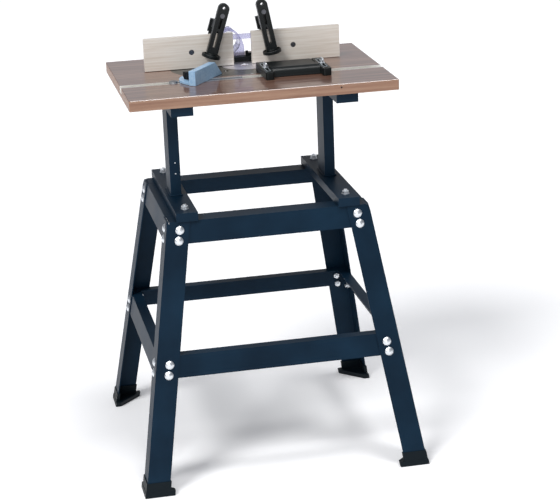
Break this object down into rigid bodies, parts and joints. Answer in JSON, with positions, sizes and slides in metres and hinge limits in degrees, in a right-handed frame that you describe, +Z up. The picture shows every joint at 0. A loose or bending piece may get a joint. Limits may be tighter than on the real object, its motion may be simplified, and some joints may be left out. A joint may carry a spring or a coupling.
{
  "type": "router table",
  "caption": "Router table on a splayed steel stand, with a split fence, hold-downs, a side pressure guide and a mitre gauge.",
  "frame": {"origin": "on the floor, under the middle of the stand", "axes": "+X right along the fence, +Y from the front to the back, +Z up"},
  "size_m": [0.6734, 0.6304, 1.0611],
  "materials": {
    "painted_steel": "satin",
    "foot_plastic": "matte",
    "zinc": "polished",
    "black_steel": "satin",
    "walnut_top": "glossy",
    "track_aluminium": "satin",
    "plate_plastic": "satin",
    "ring_steel": "polished",
    "black_casting": "satin",
    "pale_wood": "satin",
    "clear_lilac": "glossy",
    "gauge_casting": "satin",
    "bar_steel": "satin",
    "black_plastic": "satin"
  },
  "bodies": {
    "stand_and_top": {"leg_front_left": "painted_steel", "leg_front_right": "painted_steel", "leg_rear_left": "painted_steel", "leg_rear_right": "painted_steel", "feet": "foot_plastic", "upper_rail_front": "painted_steel", "upper_rail_rear": "painted_steel", "upper_rail_left": "painted_steel", "upper_rail_right": "painted_steel", "lower_rail_front": "painted_steel", "lower_rail_rear": "painted_steel", "lower_rail_left": "painted_steel", "lower_rail_right": "painted_steel", "frame_bolts": "zinc", "frame_nuts": "zinc", "lower_bearer_left": "painted_steel", "lower_bearer_right": "painted_steel", "post_left": "painted_steel", "post_right": "painted_steel", "upper_bearer_left": "painted_steel", "upper_bearer_right": "painted_steel", "bearer_bolts": "zinc", "tabletop": "walnut_top", "mitre_track": "track_aluminium", "insert_plate": "plate_plastic", "insert_ring": "ring_steel", "wood_screws": "zinc", "fence_studs": "zinc"},
    "fence": {"fence_base": "black_casting", "dust_port": "clear_lilac", "bit_guard": "clear_lilac", "fence_screws": "zinc", "holddown_pivots": "zinc"},
    "fence_knob_left": {"fence_knob_left": "black_plastic"},
    "fence_knob_right": {"fence_knob_right": "black_plastic"},
    "face_left": {"fence_face_left": "pale_wood", "face_bolt_left": "black_steel"},
    "face_right": {"fence_face_right": "pale_wood", "face_bolt_right": "black_steel"},
    "holddown_tilt_left": {"holddown_bracket_left": "black_plastic", "holddown_bolt_left": "black_steel"},
    "holddown_reach_left": {"holddown_arm_left": "black_plastic", "holddown_foot_left": "black_plastic"},
    "holddown_knob_left": {"holddown_knob_left": "black_plastic"},
    "holddown_tilt_right": {"holddown_bracket_right": "black_plastic", "holddown_bolt_right": "black_steel"},
    "holddown_reach_right": {"holddown_arm_right": "black_plastic", "holddown_foot_right": "black_plastic"},
    "holddown_knob_right": {"holddown_knob_right": "black_plastic"},
    "guide_clamps": {"guide_bolts": "zinc"},
    "guide_wing_nut_left": {"guide_wing_nut_left": "zinc"},
    "guide_wing_nut_right": {"guide_wing_nut_right": "zinc"},
    "guide_frame": {"guide_arm_left": "black_plastic", "guide_arm_right": "black_plastic", "guide_bridge": "black_plastic", "guide_pad": "black_plastic"},
    "mitre_slide": {"mitre_bar": "bar_steel", "mitre_pins": "zinc"},
    "mitre_head": {"mitre_head": "gauge_casting"},
    "mitre_knob": {"mitre_knob": "black_plastic"}
  },
  "joints": [
    {"name": "fence_slide", "type": "slide", "parent": "stand_and_top", "child": "fence", "axis": [0, 1, 0], "range_m": [0, 0.032]},
    {"name": "fence_knob_left_turn", "type": "hinge", "parent": "stand_and_top", "child": "fence_knob_left", "pos_m": [-0.1645, 0.135, 0.92], "axis": [0, 0, 1], "range_deg": [-180, 180]},
    {"name": "fence_knob_right_turn", "type": "hinge", "parent": "stand_and_top", "child": "fence_knob_right", "pos_m": [0.1715, 0.135, 0.92], "axis": [0, 0, 1], "range_deg": [-180, 180]},
    {"name": "face_left_slide", "type": "slide", "parent": "fence", "child": "face_left", "axis": [1, 0, 0], "range_m": [-0.025, 0.012]},
    {"name": "face_right_slide", "type": "slide", "parent": "fence", "child": "face_right", "axis": [1, 0, 0], "range_m": [-0.012, 0.025]},
    {"name": "holddown_left_tilt", "type": "hinge", "parent": "fence", "child": "holddown_tilt_left", "pos_m": [-0.07172, 0.088, 0.95033], "axis": [0, 1, 0], "range_deg": [-47, 6]},
    {"name": "holddown_left_reach", "type": "slide", "parent": "holddown_tilt_left", "child": "holddown_reach_left", "axis": [0.3057, 0, 0.9521], "range_m": [0, 0.026]},
    {"name": "holddown_knob_left_turn", "type": "hinge", "parent": "holddown_tilt_left", "child": "holddown_knob_left", "pos_m": [-0.04635, 0.062, 1.02936], "axis": [0, 1, 0], "range_deg": [-180, 180]},
    {"name": "holddown_right_tilt", "type": "hinge", "parent": "fence", "child": "holddown_tilt_right", "pos_m": [0.06645, 0.088, 0.95077], "axis": [0, 1, 0], "range_deg": [-10, 40]},
    {"name": "holddown_right_reach", "type": "slide", "parent": "holddown_tilt_right", "child": "holddown_reach_right", "axis": [-0.1822, 0, 0.9833], "range_m": [0, 0.026]},
    {"name": "holddown_knob_right_turn", "type": "hinge", "parent": "holddown_tilt_right", "child": "holddown_knob_right", "pos_m": [0.05132, 0.062, 1.03238], "axis": [0, 1, 0], "range_deg": [-180, 180]},
    {"name": "guide_slide", "type": "slide", "parent": "stand_and_top", "child": "guide_clamps", "axis": [1, 0, 0], "range_m": [0, 0.105]},
    {"name": "guide_reach", "type": "slide", "parent": "guide_clamps", "child": "guide_frame", "axis": [0, 1, 0], "range_m": [-0.03, 0.004]},
    {"name": "guide_wing_nut_left_turn", "type": "hinge", "parent": "guide_clamps", "child": "guide_wing_nut_left", "pos_m": [0.03, -0.068, 0.929], "axis": [0, 0, 1], "range_deg": [-180, 180]},
    {"name": "guide_wing_nut_right_turn", "type": "hinge", "parent": "guide_clamps", "child": "guide_wing_nut_right", "pos_m": [0.1625, -0.068, 0.929], "axis": [0, 0, 1], "range_deg": [-180, 180]},
    {"name": "mitre_slide", "type": "slide", "parent": "stand_and_top", "child": "mitre_slide", "axis": [1, 0, 0], "range_m": [-0.12, 0.04]},
    {"name": "mitre_swing", "type": "hinge", "parent": "mitre_slide", "child": "mitre_head", "pos_m": [-0.112, -0.068, 0.908], "axis": [0, 0, 1], "range_deg": [-24, 96]},
    {"name": "mitre_knob_turn", "type": "hinge", "parent": "mitre_slide", "child": "mitre_knob", "pos_m": [-0.152, -0.068, 0.92], "axis": [0, 0, 1], "range_deg": [-180, 180]}
  ]
}
